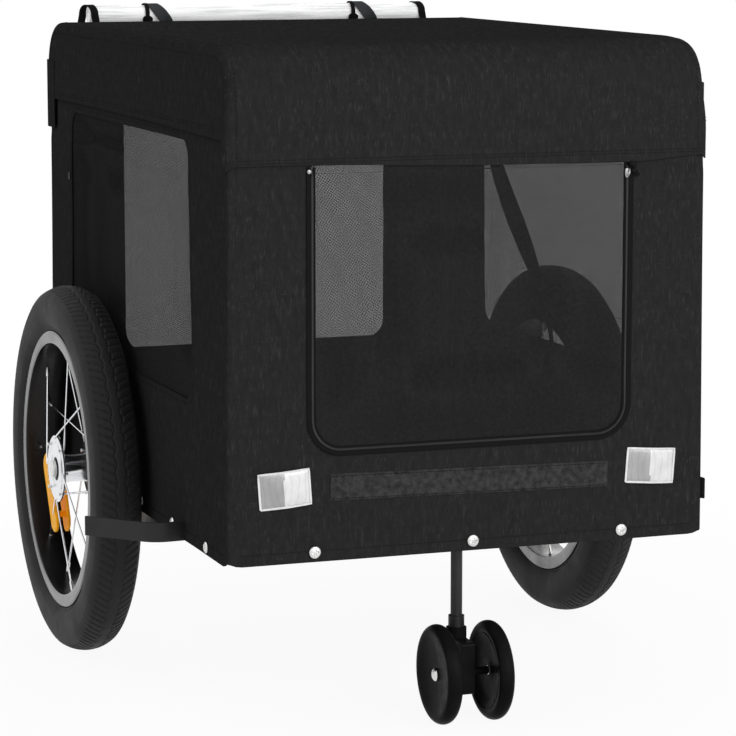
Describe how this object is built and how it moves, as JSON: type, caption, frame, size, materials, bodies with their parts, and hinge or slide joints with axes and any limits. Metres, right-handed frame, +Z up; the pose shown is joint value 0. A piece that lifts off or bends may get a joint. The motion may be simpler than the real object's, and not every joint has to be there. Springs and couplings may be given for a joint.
{
  "type": "pet bike trailer",
  "caption": "Two-wheeled pet trailer with a fabric cabin, mesh windows and zipped mesh doors, parked on a swivelling front caster.",
  "frame": {"origin": "on the floor, at the middle of the trailer's overall width and length", "axes": "+X towards the trailer's own left, -Y forward, the way it is towed, +Z up"},
  "size_m": [0.6922, 0.7374, 0.709],
  "materials": {
    "cabin_fabric": "heathered black woven polyester",
    "window_mesh": "fine open black mesh",
    "reflective_tape": "silver retroreflective tape",
    "webbing": "woven webbing and hook-and-loop tape",
    "floor_fabric": "board wrapped in black fabric",
    "black_painted_steel": "satin black paint on steel",
    "bright_steel": "bright plated steel",
    "tyre_rubber": "black rubber with moulded tread",
    "black_plastic": "glossy black nylon",
    "clear_film": "rolled clear PVC film"
  },
  "bodies": {
    "cabin": {"roof_cover": "cabin_fabric", "front_wall": "cabin_fabric", "rear_wall": "cabin_fabric", "left_wall": "cabin_fabric", "right_wall": "cabin_fabric", "left_window": "window_mesh", "right_window": "window_mesh", "front_patches": "reflective_tape", "rear_patches": "reflective_tape", "front_hook_strip": "webbing", "rear_hook_strip": "webbing", "floor_board": "floor_fabric", "front_rail": "black_painted_steel", "rear_rail": "black_painted_steel", "left_rail": "black_painted_steel", "right_rail": "black_painted_steel", "left_hoop": "black_painted_steel", "right_hoop": "black_painted_steel", "front_cross_member": "black_painted_steel", "middle_cross_member": "black_painted_steel", "axle_cross_member": "black_painted_steel", "front_roof_bar": "black_painted_steel", "rear_roof_bar": "black_painted_steel", "left_axle_boss": "black_painted_steel", "right_axle_boss": "black_painted_steel", "left_axle": "bright_steel", "right_axle": "bright_steel", "left_wheel_guard": "black_painted_steel", "right_wheel_guard": "black_painted_steel", "stem_sleeve": "black_painted_steel", "caster_stem": "black_painted_steel", "tow_socket": "black_painted_steel", "weather_cover": "clear_film", "cover_straps": "webbing"},
    "left_wheel": {"left_tyre": "tyre_rubber", "left_rim": "bright_steel", "left_hub": "bright_steel", "left_spokes": "bright_steel"},
    "right_wheel": {"right_tyre": "tyre_rubber", "right_rim": "bright_steel", "right_hub": "bright_steel", "right_spokes": "bright_steel"},
    "caster": {"caster_housing": "black_plastic"},
    "caster_wheels": {"caster_axle": "bright_steel", "left_caster_wheel": "black_plastic", "right_caster_wheel": "black_plastic"},
    "front_door": {"front_door": "window_mesh"},
    "rear_door": {"rear_door": "window_mesh"}
  },
  "joints": [
    {"name": "left_wheel_spin", "type": "hinge", "parent": "cabin", "child": "left_wheel", "pos_m": [0.291, 0.1303, 0.203], "axis": [1, 0, 0], "continuous": true},
    {"name": "right_wheel_spin", "type": "hinge", "parent": "cabin", "child": "right_wheel", "pos_m": [-0.291, 0.1303, 0.203], "axis": [1, 0, 0], "continuous": true},
    {"name": "caster_swivel", "type": "hinge", "parent": "cabin", "child": "caster", "pos_m": [0, -0.2927, 0.09], "axis": [0, 0, 1], "continuous": true},
    {"name": "caster_roll", "type": "hinge", "parent": "caster", "child": "caster_wheels", "pos_m": [0, -0.3177, 0.051], "axis": [1, 0, 0], "continuous": true},
    {"name": "front_door_lift", "type": "hinge", "parent": "cabin", "child": "front_door", "pos_m": [0, -0.3307, 0.5645], "axis": [-1, 0, 0], "range_deg": [0, 85]},
    {"name": "rear_door_lift", "type": "hinge", "parent": "cabin", "child": "rear_door", "pos_m": [0, 0.3653, 0.5645], "axis": [1, 0, 0], "range_deg": [0, 85]}
  ]
}
